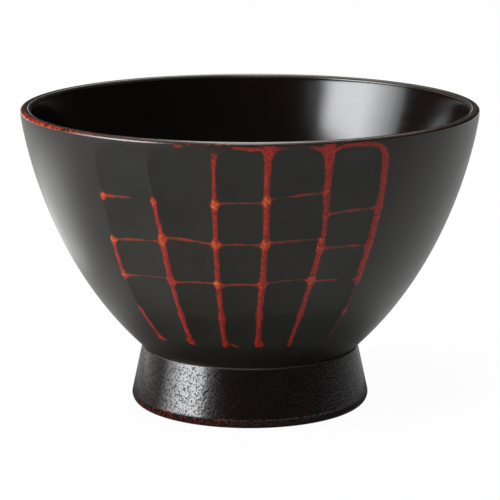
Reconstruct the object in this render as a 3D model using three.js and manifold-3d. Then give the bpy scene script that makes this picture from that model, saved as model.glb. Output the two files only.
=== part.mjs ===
// A lacquered wooden soup bowl on a turned foot, with a gouge-carved panel on its front.
// Millimetres, +Z up. It stands on z = 0 with its axis on Z, and the carved panel faces -Y.
import * as THREE from "three";
import { mergeVertices } from "three/addons/utils/BufferGeometryUtils.js";
import Module from "manifold-3d";

const wasm = await Module();
wasm.setup();

// Bowl: overall sizes, the wall's sweep, and its thickness
const RIM_DIAMETER = 115;
const BOWL_HEIGHT = 76;
const NECK_DIAMETER = 54.5;
const WALL_RISE_DEGREES = 42.7;
const LOWER_SWEEP = 35;
const UPPER_SWEEP = 1.6;
const RIM_WALL = 2.4;
const LIP_ROUNDING = 0.7;
const BASE_WALL = 5.5;
const FLOOR_THICKNESS = 5.5;
const FLOOR_ROUNDING = 8.5;

// Foot: a ring glued round a spigot under the bowl
const FOOT_HEIGHT = 15;
const FOOT_DIAMETER = 60.5;
const FOOT_LEDGE = 0.35;
const FOOT_WALL = 4.5;
const TOE_RADIUS = 2.2;
const INNER_TOE_RADIUS = 0.8;
const WELL_DEPTH = 11;
const SPIGOT_SHOULDER = 3.4;

// Lacquer: the thickness of a coat, and the clearance between neighbouring solids
const COAT = 0.3;
const CLEARANCE = 0.05;

// Carved panel: flutes side by side, each cut in rows from the rim down
const FLUTES = 5;
const ROWS = 5;
const FLUTE_PITCH = 14.95;
const FLUTE_DEPTH = 0.55;
const CHIP_DEPTH = 0.12;
const RIDGE_WIDTH = 1.5;
const STEP_WIDTH = 0.5;
const PANEL_RISE = 5.8;
const TOP_ROW_EXTRA = 3.9;
const RUN_OUT = 5;

// Hand-cut unevenness: ridges wander sideways and sway from the rim down, row lines lie higher or lower, and
// each flute's arch drops by its own amount to the left and to the right
const RIDGE_WANDER = [0, 1.2, 1.4, -0.6, -0.8, 0];
const RIDGE_SWAY = [
  [0.6, 0.7, 0.5, -0.5, -0.6, 1.6],
  [-0.6, -0.5, 0.4, 0.3, 0.2, -0.2],
  [0.7, 0.5, 0.2, -0.3, -0.4, -1.2],
  [0.5, 0.2, 0.4, -0.1, -0.7, -0.5],
  [0.3, 0.4, 1, -0.1, -1.3, -2.6],
  [-0.6, 0.1, 0.1, -0.1, 0, -1.8],
];
const ROW_WANDER = [
  [0, -0.5, 0, 1.9, -2.8],
  [-0.7, 0.4, -0.3, 0.4, -1.9],
  [-0.3, -0.8, -1, -0.3, -0.7],
  [0, -0.6, -0.3, 0.4, 0],
];
const ARCH_DROP = [[3.2, 3.2], [3, 3], [4.5, 2.6], [2, 5], [4, 5.8]];

// How finely the curves are divided
const SEGMENTS = 48;
const WALL_STEPS = 10;
const FLOOR_STEPS = 8;
const LIP_STEPS = 2;
const TOE_STEPS = 3;
const FLUTE_CELLS = 3;
const PANEL_ROWS = 10;
const FACET_ROWS = 2;
const ARCH_CELLS = 6;
const SOLVE_STEPS = 40;
const WELD_DISTANCE = 1e-4;
const CUTTER_REACH = 2;

const rimRadius = RIM_DIAMETER / 2;
const neckRadius = NECK_DIAMETER / 2;
const footRadius = FOOT_DIAMETER / 2;
const lipHeight = BOWL_HEIGHT - LIP_ROUNDING;
const floorHeight = WELL_DEPTH + FLOOR_THICKNESS;
const spigotRadius = neckRadius - SPIGOT_SHOULDER;
const wallRise = THREE.MathUtils.degToRad(WALL_RISE_DEGREES);

const panelTop = lipHeight - CLEARANCE;
const panelBottom = FOOT_HEIGHT + PANEL_RISE;
const rowHeight = (panelTop - panelBottom - TOP_ROW_EXTRA) / ROWS;
const facetBack = FLUTE_DEPTH + CHIP_DEPTH + COAT;
const groundBack = facetBack + CLEARANCE + COAT;

const point = (radius, height) => new THREE.Vector2(radius, height);

// The outside of the wall from the neck up to the lip, as radius and height
const wall = new THREE.CubicBezierCurve(
  point(neckRadius, FOOT_HEIGHT),
  point(neckRadius + LOWER_SWEEP * Math.cos(wallRise), FOOT_HEIGHT + LOWER_SWEEP * Math.sin(wallRise)),
  point(rimRadius, lipHeight - UPPER_SWEEP),
  point(rimRadius, lipHeight),
);

// Where along the wall curve a height lies, found by halving
function wallShare(height) {
  let low = 0;
  let high = 1;
  for (let step = 0; step < SOLVE_STEPS; step += 1) {
    const middle = (low + high) / 2;
    if (wall.getPoint(middle).y < height) low = middle;
    else high = middle;
  }
  return (low + high) / 2;
}

// The wall's outward direction at a share of its curve
function wallOutward(share) {
  const tangent = wall.getTangent(share);
  return point(tangent.y, -tangent.x);
}

// A point some depth below the outside of the wall. Azimuth 0 faces -Y and grows towards +X
function wallPoint(azimuth, height, depth) {
  const share = wallShare(height);
  const outward = wallOutward(share);
  const radius = wall.getPoint(share).x - depth * outward.x;
  return [radius * Math.sin(azimuth), -radius * Math.cos(azimuth), height - depth * outward.y];
}

const wallRadius = (height) => wall.getPoint(wallShare(height)).x;

// A point on the inside of the wall, which grows thicker from the lip down
function insidePoint(share) {
  const thickness = THREE.MathUtils.lerp(BASE_WALL, RIM_WALL, share);
  return wall.getPoint(share).addScaledVector(wallOutward(share), -thickness);
}

// Section lines, each drawn so that the material lies on the left of its direction

function outsideLine() {
  return wall.getPoints(WALL_STEPS);
}

// The flat lip with its rounded edges, from its outer to its inner side, or the same line some depth below it
function lipLine(depth) {
  const radius = LIP_ROUNDING - depth;
  const edge = (middle, start) =>
    new THREE.EllipseCurve(middle, lipHeight, radius, radius, start, start + Math.PI / 2).getPoints(LIP_STEPS);
  return [
    ...edge(rimRadius - LIP_ROUNDING, 0),
    ...edge(rimRadius - RIM_WALL + LIP_ROUNDING, Math.PI / 2),
  ];
}

function insideLine() {
  const floorShare = wallShare(FOOT_HEIGHT + FLOOR_ROUNDING);
  const line = [];
  for (let step = 0; step <= WALL_STEPS; step += 1) {
    line.push(insidePoint(THREE.MathUtils.lerp(1, floorShare, step / WALL_STEPS)));
  }
  const wallEnd = line[line.length - 1];
  const outward = wallOutward(floorShare);
  const turn = point(wallEnd.x - (wallEnd.y - floorHeight) * (-outward.y / outward.x), floorHeight);
  const floor = new THREE.QuadraticBezierCurve(wallEnd, turn, point(0, floorHeight));
  return line.concat(floor.getPoints(FLOOR_STEPS).slice(1));
}

// The foot from the top of its inner side, under the toe, to the top of its outer side
function footLine() {
  const innerTop = point(spigotRadius - COAT, WELL_DEPTH - CLEARANCE);
  const innerToe = point(footRadius - FOOT_WALL + INNER_TOE_RADIUS, INNER_TOE_RADIUS);
  const outerToe = point(footRadius - TOE_RADIUS, TOE_RADIUS);
  const outerTop = point(neckRadius + FOOT_LEDGE, FOOT_HEIGHT - CLEARANCE);
  const innerAngle = tangentAngle(innerToe, INNER_TOE_RADIUS, innerTop, 1);
  const outerAngle = tangentAngle(outerToe, TOE_RADIUS, outerTop, -1);
  const below = -Math.PI / 2;
  return [
    innerTop,
    ...arcPoints(innerToe, INNER_TOE_RADIUS, innerAngle, 2 * Math.PI + below),
    ...arcPoints(outerToe, TOE_RADIUS, below, outerAngle),
    outerTop,
  ];
}

// The angle at which a line from a point outside touches a circle, on the circle's left (1) or right (-1)
function tangentAngle(centre, radius, from, side) {
  const reach = from.clone().sub(centre);
  return Math.atan2(reach.y, reach.x) + side * Math.acos(radius / reach.length());
}

function arcPoints(centre, radius, start, end) {
  return new THREE.EllipseCurve(centre.x, centre.y, radius, radius, start, end).getPoints(TOE_STEPS);
}

// The same line moved into the material by a distance, with mitred corners
function inset(line, distance) {
  const lefts = line.slice(1).map((end, place) => {
    const along = end.clone().sub(line[place]).normalize();
    return point(-along.y, along.x);
  });
  return line.map((start, place) => {
    const before = lefts[Math.max(place - 1, 0)];
    const after = lefts[Math.min(place, lefts.length - 1)];
    const mitre = before.clone().add(after).divideScalar(1 + before.dot(after));
    return start.clone().addScaledVector(mitre, distance);
  });
}

// Slides the first point of a line along its first stretch to a height
function levelStart(line, height) {
  const [first, second] = line;
  const share = (height - first.y) / (second.y - first.y);
  return [first.clone().lerp(second, share), ...line.slice(1)];
}

const levelEnd = (line, height) => levelStart(line.slice().reverse(), height).reverse();

// Moves the last point of a line straight onto the axis
function endOnAxis(line) {
  return [...line.slice(0, -1), point(0, line[line.length - 1].y)];
}

// The foot's line some depth below its surface, with both ends level
function footInset(depth) {
  const line = levelEnd(inset(footLine(), depth), FOOT_HEIGHT - CLEARANCE);
  return levelStart(line, WELL_DEPTH - CLEARANCE);
}

// Closed section of a coat between a line and its inset
const coatSection = (line, back) => [...line, ...back.slice().reverse(), line[0]];

// Solids

// Only positions, with shared corners merged and collapsed triangles dropped
function welded(geometry) {
  geometry.deleteAttribute("normal");
  geometry.deleteAttribute("uv");
  const merged = mergeVertices(geometry, WELD_DISTANCE);
  const corners = merged.index.array;
  const kept = [];
  for (let at = 0; at < corners.length; at += 3) {
    const [a, b, c] = corners.subarray(at, at + 3);
    if (a !== b && b !== c && c !== a) kept.push(a, b, c);
  }
  merged.setIndex(kept);
  return merged;
}

// A section turned about Z
function turned(section) {
  const geometry = new THREE.LatheGeometry(section, SEGMENTS);
  geometry.rotateX(Math.PI / 2);
  return welded(geometry);
}

// A closed plate that follows the wall: place gives azimuth and height for each corner of its grid, and front
// and back give the depths of its two faces below the wall
function wallPlate(columns, rows, place, front, back) {
  const corners = [];
  const triangles = [];
  const corner = (face, column, row) => (face * (rows + 1) + row) * (columns + 1) + column;
  const quad = (a, b, c, d) => triangles.push(a, b, c, a, c, d);
  [front, back].forEach((depth) => {
    for (let row = 0; row <= rows; row += 1) {
      for (let column = 0; column <= columns; column += 1) {
        const [azimuth, height] = place(column, row);
        corners.push(...wallPoint(azimuth, height, depth(azimuth, height)));
      }
    }
  });
  for (let row = 0; row < rows; row += 1) {
    for (let column = 0; column < columns; column += 1) {
      const [right, up] = [column + 1, row + 1];
      quad(corner(0, column, row), corner(0, right, row), corner(0, right, up), corner(0, column, up));
      quad(corner(1, column, up), corner(1, right, up), corner(1, right, row), corner(1, column, row));
    }
  }
  for (let column = 0; column < columns; column += 1) {
    const right = column + 1;
    quad(corner(0, right, 0), corner(0, column, 0), corner(1, column, 0), corner(1, right, 0));
    quad(corner(0, column, rows), corner(0, right, rows), corner(1, right, rows), corner(1, column, rows));
  }
  for (let row = 0; row < rows; row += 1) {
    const up = row + 1;
    quad(corner(0, 0, row), corner(0, 0, up), corner(1, 0, up), corner(1, 0, row));
    quad(corner(0, columns, up), corner(0, columns, row), corner(1, columns, row), corner(1, columns, up));
  }
  const geometry = new THREE.BufferGeometry();
  geometry.setAttribute("position", new THREE.Float32BufferAttribute(corners, 3));
  geometry.setIndex(triangles);
  return geometry;
}

function toSolid(geometry) {
  const mesh = new wasm.Mesh({
    numProp: 3,
    vertProperties: new Float32Array(geometry.attributes.position.array),
    triVerts: new Uint32Array(geometry.index.array),
  });
  return new wasm.Manifold(mesh);
}

function toGeometry(solid) {
  const mesh = solid.getMesh();
  const geometry = new THREE.BufferGeometry();
  geometry.setAttribute("position", new THREE.BufferAttribute(mesh.vertProperties, 3));
  geometry.setIndex(new THREE.BufferAttribute(mesh.triVerts, 1));
  return geometry;
}

const cut = (geometry, cutters) =>
  toGeometry(cutters.reduce((solid, cutter) => solid.subtract(toSolid(cutter)), toSolid(geometry)));

// Carved panel: where its ridges, row lines and arches run

// Azimuth of a ridge, counted from the left, at a height. Its sway is given at even stops from the rim down
function ridgeAzimuth(ridge, height) {
  const stops = RIDGE_SWAY[ridge];
  const last = stops.length - 1;
  const down = ((panelTop - height) / (panelTop - panelBottom)) * last;
  const stop = THREE.MathUtils.clamp(Math.floor(down), 0, last - 1);
  const sway = THREE.MathUtils.lerp(stops[stop], stops[stop + 1], THREE.MathUtils.clamp(down - stop, 0, 1));
  return ((ridge - FLUTES / 2) * FLUTE_PITCH + RIDGE_WANDER[ridge] + sway) / rimRadius;
}

// Height of the row line above a row, counted from the top
function rowLine(flute, row) {
  const wander = row > 0 && row < ROWS ? ROW_WANDER[row - 1][flute] : 0;
  return panelBottom + (ROWS - row) * rowHeight + wander;
}

// Height of a flute's rounded top at a place across it, from -1 to 1
function archHeight(flute, across) {
  const [left, right] = ARCH_DROP[flute];
  const share = 1 - Math.cbrt(1 - Math.min(1, Math.abs(across)) ** 3);
  return panelTop - STEP_WIDTH - (across < 0 ? left : right) * share;
}

// Which flute a place on the wall lies in, and how far across it
function fluteAt(azimuth, height) {
  let flute = 0;
  while (flute < FLUTES - 1 && azimuth > ridgeAzimuth(flute + 1, height)) flute += 1;
  const [left, right] = [ridgeAzimuth(flute, height), ridgeAzimuth(flute + 1, height)];
  const across = (2 * azimuth - left - right) / (right - left);
  return { flute, across: THREE.MathUtils.clamp(across, -1, 1) };
}

// Depth of the flutes alone: a shallow curve across, running out at the top and the bottom
function fluteDepth(azimuth, height) {
  const { flute, across } = fluteAt(azimuth, height);
  const above = THREE.MathUtils.smoothstep(archHeight(flute, across) - height, 0, RUN_OUT);
  const below = THREE.MathUtils.smoothstep(height - panelBottom, 0, RUN_OUT);
  return FLUTE_DEPTH * (1 - across ** 2) * above * below;
}

// Azimuth at a share from one edge of a flute's facets to the other
function facetAzimuth(flute, share, height, grow) {
  const edge = (RIDGE_WIDTH / 2 - grow) / wallRadius(height);
  const [left, right] = [ridgeAzimuth(flute, height), ridgeAzimuth(flute + 1, height)];
  return THREE.MathUtils.lerp(left + edge, right - edge, share);
}

// A facet's plate, or with grow a pocket for it. Rows count from the top, and the top row ends in an arch
function facetPlate(flute, row, grow, front, back) {
  const columns = row === 0 ? ARCH_CELLS : FLUTE_CELLS;
  const halfStep = STEP_WIDTH / 2 - grow;
  const low = rowLine(flute, row + 1) + halfStep;
  const place = (column, level) => {
    const share = column / columns;
    const high = row === 0 ? archHeight(flute, 2 * share - 1) + grow : rowLine(flute, row) - halfStep;
    const height = THREE.MathUtils.lerp(low, high, level / FACET_ROWS);
    return [facetAzimuth(flute, share, height, grow), height];
  };
  return wallPlate(columns, FACET_ROWS, place, front, back);
}

// Depth of a facet's face: the flute, and the gouge's own hollow within its row
function facetDepth(flute, row) {
  const low = rowLine(flute, row + 1);
  const high = row === 0 ? panelTop : rowLine(flute, row);
  return (azimuth, height) => {
    const { across } = fluteAt(azimuth, height);
    const along = (2 * height - low - high) / (high - low);
    return fluteDepth(azimuth, height) + CHIP_DEPTH * (1 - across ** 2) * (1 - along ** 2);
  };
}

// Azimuths of the panel's grid: both flanks of every ridge, and even steps across each flute
function panelStops(height, grow) {
  const half = (RIDGE_WIDTH / 2) / wallRadius(height);
  const stops = [ridgeAzimuth(0, height) - half - grow / wallRadius(height)];
  for (let flute = 0; flute < FLUTES; flute += 1) {
    for (let cell = 0; cell <= FLUTE_CELLS; cell += 1) {
      stops.push(facetAzimuth(flute, cell / FLUTE_CELLS, height, 0));
    }
  }
  stops.push(ridgeAzimuth(FLUTES, height) + half + grow / wallRadius(height));
  return stops;
}

// A plate over the whole panel, or with grow a cutter for its window or recess
function panelPlate(grow, front, back) {
  const columns = FLUTES * (FLUTE_CELLS + 1) + 1;
  const place = (column, row) => {
    const share = row / PANEL_ROWS;
    const height = THREE.MathUtils.lerp(panelBottom - grow, Math.min(panelTop + grow, lipHeight), share);
    return [panelStops(height, grow)[column], height];
  };
  return wallPlate(columns, PANEL_ROWS, place, front, back);
}

const proud = () => -CUTTER_REACH;

// Finishes

const finish = (color, roughness) => new THREE.MeshStandardMaterial({ color, roughness, metalness: 0 });
const bareWood = finish(0x9a6b43, 0.75);
const glossBlack = finish(0x0d0907, 0.12);
const satinBlack = finish(0x2a2825, 0.4);
const wornRed = finish(0x6b2a1c, 0.4);
const groundRed = finish(0x8c2f22, 0.4);
const facetBlack = finish(0x2a2a26, 0.38);
const stippledBrown = finish(0x251813, 0.45);

// Assembly

const bowl = new THREE.Group();
bowl.name = "soup_bowl";

function addPiece(name, geometry, material) {
  geometry.computeVertexNormals();
  const mesh = new THREE.Mesh(geometry, material);
  mesh.name = name;
  bowl.add(mesh);
}

// The turned wooden body: spigot, wall, lip and floor under the lacquer, with a recess for the panel
function bowlBody() {
  const depth = COAT + CLEARANCE;
  const section = [...outsideLine(), ...lipLine(0).slice(1), ...insideLine().slice(1)];
  const skin = endOnAxis(levelStart(inset(section, depth), FOOT_HEIGHT));
  const spigotBottom = WELL_DEPTH + depth;
  const profile = [
    point(0, spigotBottom),
    point(spigotRadius, spigotBottom),
    point(spigotRadius, FOOT_HEIGHT),
    ...skin,
  ];
  const recess = panelPlate(CLEARANCE, proud, () => groundBack + CLEARANCE);
  return cut(turned(profile), [recess]);
}

// The turned wooden foot, bored to fit over the spigot
function footRing() {
  const skin = footInset(COAT + CLEARANCE);
  const boreTop = point(spigotRadius + CLEARANCE, FOOT_HEIGHT - CLEARANCE);
  return turned([...skin, boreTop, skin[0]]);
}

function innerLining() {
  const line = levelStart(insideLine(), lipHeight - CLEARANCE);
  const back = endOnAxis(levelStart(inset(line, COAT), lipHeight - CLEARANCE));
  return turned([...back.reverse(), ...line]);
}

function outerCoat() {
  const line = levelEnd(outsideLine(), lipHeight - CLEARANCE);
  const back = levelStart(levelEnd(inset(line, COAT), lipHeight - CLEARANCE), FOOT_HEIGHT);
  const window = panelPlate(CLEARANCE, proud, () => CUTTER_REACH);
  return cut(turned(coatSection(line, back)), [window]);
}

function rimLip() {
  return turned(coatSection(lipLine(0), lipLine(COAT)));
}

function footCoat() {
  return turned(coatSection(footLine(), footInset(COAT)));
}

function footWellCoat() {
  const [under, over] = [WELL_DEPTH, WELL_DEPTH + COAT];
  return turned([point(0, under), point(spigotRadius, under), point(spigotRadius, over), point(0, over)]);
}

// The red ground: a plate over the panel with a pocket for every facet, so that only the net stands up
function carvedGround() {
  const plate = panelPlate(0, fluteDepth, () => groundBack);
  const pockets = [];
  for (let flute = 0; flute < FLUTES; flute += 1) {
    for (let row = 0; row < ROWS; row += 1) {
      pockets.push(facetPlate(flute, row, CLEARANCE, proud, () => facetBack + CLEARANCE));
    }
  }
  return cut(plate, pockets);
}

addPiece("bowl_body", bowlBody(), bareWood);
addPiece("foot_ring", footRing(), bareWood);
addPiece("inner_lining", innerLining(), glossBlack);
addPiece("outer_coat", outerCoat(), satinBlack);
addPiece("rim_lip", rimLip(), wornRed);
addPiece("foot_coat", footCoat(), stippledBrown);
addPiece("foot_well_coat", footWellCoat(), satinBlack);
addPiece("carved_ground", carvedGround(), groundRed);
for (let flute = 0; flute < FLUTES; flute += 1) {
  for (let row = 0; row < ROWS; row += 1) {
    const facet = facetPlate(flute, row, 0, facetDepth(flute, row), () => facetBack);
    addPiece(`facet_c${flute + 1}_r${row + 1}`, facet, facetBlack);
  }
}

export default bowl;
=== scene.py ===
# Looks of a lacquered soup bowl: fine turned coats, a carved panel rubbed through to red, and a studio.
# Metres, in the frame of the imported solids: +Z up, the carved panel faces -Y.
import math

import bpy
import numpy as np
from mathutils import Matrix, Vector


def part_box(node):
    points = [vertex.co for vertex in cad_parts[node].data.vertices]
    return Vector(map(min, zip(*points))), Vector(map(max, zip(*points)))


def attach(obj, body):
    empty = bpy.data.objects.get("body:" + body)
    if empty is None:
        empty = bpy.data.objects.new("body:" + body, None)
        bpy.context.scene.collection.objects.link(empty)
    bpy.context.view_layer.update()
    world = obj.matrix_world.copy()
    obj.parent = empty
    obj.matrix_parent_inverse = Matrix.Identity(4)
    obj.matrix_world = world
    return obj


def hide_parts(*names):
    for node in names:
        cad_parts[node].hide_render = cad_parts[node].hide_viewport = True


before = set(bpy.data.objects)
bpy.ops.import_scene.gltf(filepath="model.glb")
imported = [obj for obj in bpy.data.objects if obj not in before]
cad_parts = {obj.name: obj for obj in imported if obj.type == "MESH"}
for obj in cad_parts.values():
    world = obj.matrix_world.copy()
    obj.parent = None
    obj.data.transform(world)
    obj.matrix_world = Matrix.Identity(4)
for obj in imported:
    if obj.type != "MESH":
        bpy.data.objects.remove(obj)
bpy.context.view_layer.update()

MM = 0.001

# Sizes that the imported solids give
lip_low, lip_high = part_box("rim_lip")
_, foot_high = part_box("foot_coat")
well_low, well_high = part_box("foot_well_coat")
panel_low, panel_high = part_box("carved_ground")
rim_radius = lip_high.x
bowl_height = lip_high.z
lip_height = lip_low.z
lip_rounding = bowl_height - lip_height
foot_radius = foot_high.x
foot_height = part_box("outer_coat")[0].z
well_depth = well_low.z
spigot_radius = well_high.x
panel_bottom = panel_low.z
panel_top = panel_high.z

# The wall's sweep and thickness
NECK_RADIUS = 27.25 * MM
WALL_RISE = math.radians(42.7)
LOWER_SWEEP = 35 * MM
UPPER_SWEEP = 1.6 * MM
RIM_WALL = 2.4 * MM
BASE_WALL = 5.5 * MM
FLOOR_HEIGHT = 16.5 * MM
FLOOR_ROUNDING = 8.5 * MM
COAT = 0.3 * MM

# The foot's outline
FOOT_LEDGE = 0.35 * MM
FOOT_WALL = 4.5 * MM
TOE_RADIUS = 2.2 * MM
INNER_TOE_RADIUS = 0.8 * MM
LEDGE_ROUNDING = 0.5 * MM
STIPPLE_SIZE = 0.5 * MM
STIPPLE_DEPTH = 0.015 * MM

# The carved panel: flutes side by side, each cut in rows from the rim down
FLUTES = 5
ROWS = 5
FLUTE_PITCH = 14.95 * MM
FLUTE_DEPTH = 0.55 * MM
CHIP_DEPTH = 0.12 * MM
RIDGE_HALF = 0.75 * MM
STEP_HALF = 0.25 * MM
TOP_ROW_EXTRA = 3.9 * MM
RUN_OUT = 5 * MM
UNEVENNESS = 0.03 * MM
UNEVENNESS_SIZE = 7 * MM

# Hand-cut unevenness in millimetres: where each ridge stands, how it sways at even stops from the rim down,
# how the row lines lie and tilt from flute to flute, and how far each rounded top drops on both sides
RIDGE_WANDER = [0, 1.2, 1.4, -0.6, -0.8, 0]
RIDGE_SWAY = [
    [0.6, 0.7, 0.5, -0.5, -0.6, 1.6],
    [-0.6, -0.5, 0.4, 0.3, 0.2, -0.2],
    [0.7, 0.5, 0.2, -0.3, -0.4, -1.2],
    [0.5, 0.2, 0.4, -0.1, -0.7, -0.5],
    [0.3, 0.4, 1, -0.1, -1.3, -2.6],
    [-0.6, 0.1, 0.1, -0.1, 0, -1.8],
]
ROW_WANDER = [
    [-0.2, -0.5, 0, 1.6, -3],
    [-0.9, 0.2, -0.5, 0.3, -2.1],
    [-0.5, -0.9, -1.1, -0.2, -0.9],
    [0, -0.6, -0.3, 0.4, 0],
]
ROW_TILT = [
    [0.1, 0, 0.1, 0.7, 0.2],
    [0.5, -0.6, 0, 0.3, -0.1],
    [0.4, 0.2, 0.1, 0.3, -0.4],
    [0, 0, 0, 0, 0],
]
ARCH_DROP = [[3.2, 3.2], [3, 3], [4.5, 2.6], [2, 5], [4, 5.8]]

# How wide the ridges are rubbed through to red, in millimetres from the middle, below 0 where black holds:
# at the lip and beside the rounded tops, between the row lines from the top down, on crossings, at the end
TOP_RED = [[-0.8, -0.8], [-0.6, -0.4], [-0.5, 0.2], [1.2, 0.8], [1.2, 0.85], [-0.9, 0.75]]
RIDGE_RED = [
    [-0.8, -0.35, 0.45, -0.15, 0.38],
    [-0.05, 0.48, 0.68, 0.52, 0.58],
    [0.5, 0.56, 0.58, 0.56, 0.58],
    [0.7, 0.68, 0.66, 0.68, 0.6],
    [0.78, 0.56, 0.7, 0.58, 0.48],
    [0.9, 0.9, 0.82, 0.05, 0.1],
]
CROSSING_RED = [
    [0.75, 0.7, 0.75, 0.5],
    [0.75, 0.95, 0.9, 0.8],
    [0.85, 0.95, 0.85, 0.95],
    [0.95, 0.95, 0.9, 0.9],
    [0.8, 0.95, 0.9, 0.85],
    [1.0, 0.95, 0.85, 0.6],
]
END_RED = [0.5, 0.55, 0.7, 0.7, 0.62, -0.3]

# The same for the row lines and the rounded tops, at five places across each flute
ACROSS_STOPS = [-0.9, -0.45, 0, 0.45, 0.9]
NO_RED = [-0.5] * 5
ROW_RED = [
    [
        [0.45, 0.32, 0.26, -0.3, -0.4], NO_RED, [0.3, 0.22, 0.22, 0.22, 0.3],
        [0.2, 0, 0.32, 0.3, 0.15], [0.3] * 5,
    ],
    [
        [0.3, 0.32, 0.32, 0, 0.25], [0.45, 0.38, 0.3, 0.2, 0.25], [0.35, 0.28, 0.28, 0.28, 0.35],
        [0.4, 0.3, 0.3, 0.2, 0.05], [0.35, 0.3, 0.3, 0.25, 0.1],
    ],
    [
        [0.4, 0.2, 0.15, 0.12, 0], [0.3, 0.26, 0.24, 0.26, 0.05], [0.35, 0.32, 0.32, 0.3, 0.35],
        [0.3, 0.25, 0.22, 0, 0.3], [0.3, 0.25, 0.15, -0.2, 0.2],
    ],
]
ARCH_RED = [
    NO_RED, [-0.5, -0.5, -0.4, -0.3, 0], [0.25, -0.4, 0.15, 0.3, 0.2], [0.6, 0, -0.35, 0.25, 0.8],
    [0.3, 0.4, 0.5, 0.55, 0.7],
]
# Short stray strokes: azimuth in degrees and height at both ends, and the half width
STRAY_RED = [
    [-0.9, 74.9, 1.9, 74.7, 0.3], [1.9, 74.7, 4.1, 74.2, 0.3], [-14.3, 75, -13, 74.9, 0.3],
    [-4.5, 22.6, -1.8, 21.9, 0.28], [-37, 22.5, -34.4, 22.1, 0.3], [-22.7, 23.1, -20.4, 22.3, 0.35],
    [5.7, 23.7, 8.2, 22.7, 0.35],
]
# How strongly each crossing shows orange
CROSSING_GLOW = [
    [0.8, 0.8, 0.8, 0.2],
    [0.6, 0.8, 0.45, 0.1],
    [0.9, 0.9, 0.8, 0.1],
    [0.8, 0.9, 0.6, 0.1],
    [0.6, 0.75, 0.7, 0.2],
    [0.4, 0.4, 0.5, 0.1],
]

# How finely the shapes are divided
TURNS = 192
LIP_TURNS = 384
FOOT_TURNS = 840
WELL_TURNS = 96
WALL_STEPS = 72
FLOOR_STEPS = 40
LIP_STEPS = 10
LIP_FLAT_STEPS = 6
RIDGE_CELLS = 6
FLUTE_CELLS = 28
BACK_CELLS = 160
NECK_CELLS = 14
CHIP_CELLS = 20
TOP_CHIP_CELLS = 27
STEP_CELLS = 2
CROWN_CELLS = 6
CURVE_SAMPLES = 4000
WELD = 0.001 * MM
SHARP_ANGLE = math.radians(40)


# Node trees

class Field:
    """A socket in an expression. Arithmetic on it adds Math nodes to its tree."""

    def __init__(self, maker, socket):
        self.maker = maker
        self.socket = socket

    def math(self, operation, *values):
        return self.maker.add("ShaderNodeMath", {"operation": operation}, dict(enumerate(values)))

    def __add__(self, other):
        return self.math("ADD", self, other)

    def __radd__(self, other):
        return self.math("ADD", other, self)

    def __sub__(self, other):
        return self.math("SUBTRACT", self, other)

    def __rsub__(self, other):
        return self.math("SUBTRACT", other, self)

    def __mul__(self, other):
        return self.math("MULTIPLY", self, other)

    def __rmul__(self, other):
        return self.math("MULTIPLY", other, self)

    def __truediv__(self, other):
        return self.math("DIVIDE", self, other)

    def __rtruediv__(self, other):
        return self.math("DIVIDE", other, self)


class Maker:
    """Adds nodes to one tree."""

    def __init__(self, tree):
        self.tree = tree

    def feed(self, socket, value):
        if isinstance(value, Field):
            self.tree.links.new(value.socket, socket)
        else:
            socket.default_value = value

    def node(self, kind, settings=None, inputs=None):
        made = self.tree.nodes.new(kind)
        for name, value in (settings or {}).items():
            setattr(made, name, value)
        for key, value in (inputs or {}).items():
            self.feed(made.inputs[key], value)
        return made

    def add(self, kind, settings=None, inputs=None, output=0):
        return Field(self, self.node(kind, settings, inputs).outputs[output])


def smooth(maker, value, low, high):
    """0 below low, 1 above high, eased between."""
    return maker.add(
        "ShaderNodeMapRange",
        {"interpolation_type": "SMOOTHSTEP"},
        {"Value": value, "From Min": low, "From Max": high},
    )


def stepped(maker, value, low, high):
    """Like smooth, for a falling edge: 1 below low, 0 above high."""
    return 1 - smooth(maker, value, low, high)


def noise(maker, place, size, detail=2.0, roughness=0.5, seed=0.0):
    """Cloudy noise from 0 to 1 whose clouds are about one size across."""
    return maker.add(
        "ShaderNodeTexNoise",
        {"noise_dimensions": "4D"},
        {"Vector": place, "W": seed, "Scale": 1 / size, "Detail": detail, "Roughness": roughness},
    )


def mixed(maker, share, first, second):
    """A colour between two."""
    return maker.add("ShaderNodeMix", {"data_type": "RGBA"}, {0: share, 6: first, 7: second}, 2)


def stretched(maker, place, scale):
    """Coordinates stretched along the axes."""
    return maker.add("ShaderNodeVectorMath", {"operation": "MULTIPLY"}, {0: place, 1: scale})


def parts_of(maker, vector):
    """The three numbers of a vector."""
    split = maker.node("ShaderNodeSeparateXYZ", {}, {0: vector})
    return [Field(maker, socket) for socket in split.outputs]


def joined(maker, x, y, z):
    return maker.add("ShaderNodeCombineXYZ", {}, {0: x, 1: y, 2: z})


def turned(maker, radius, angle, height):
    """A point at a radius and a height, turned about Z from the front."""
    sine, cosine = angle.math("SINE", angle), angle.math("COSINE", angle)
    return joined(maker, radius * sine, radius * cosine * -1, height)


# Geometry trees

def new_tree(name, sizes):
    """A geometry tree with a Geometry input, a named input for each size, and a Material input."""
    tree = bpy.data.node_groups.new(name, "GeometryNodeTree")
    tree.interface.new_socket("Geometry", in_out="INPUT", socket_type="NodeSocketGeometry")
    for size, kind in sizes.items():
        tree.interface.new_socket(size, in_out="INPUT", socket_type=kind)
    tree.interface.new_socket("Material", in_out="INPUT", socket_type="NodeSocketMaterial")
    tree.interface.new_socket("Geometry", in_out="OUTPUT", socket_type="NodeSocketGeometry")
    maker = Maker(tree)
    source = maker.node("NodeGroupInput")
    given = {socket.name: Field(maker, socket) for socket in source.outputs if socket.name}
    return tree, maker, given


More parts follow.
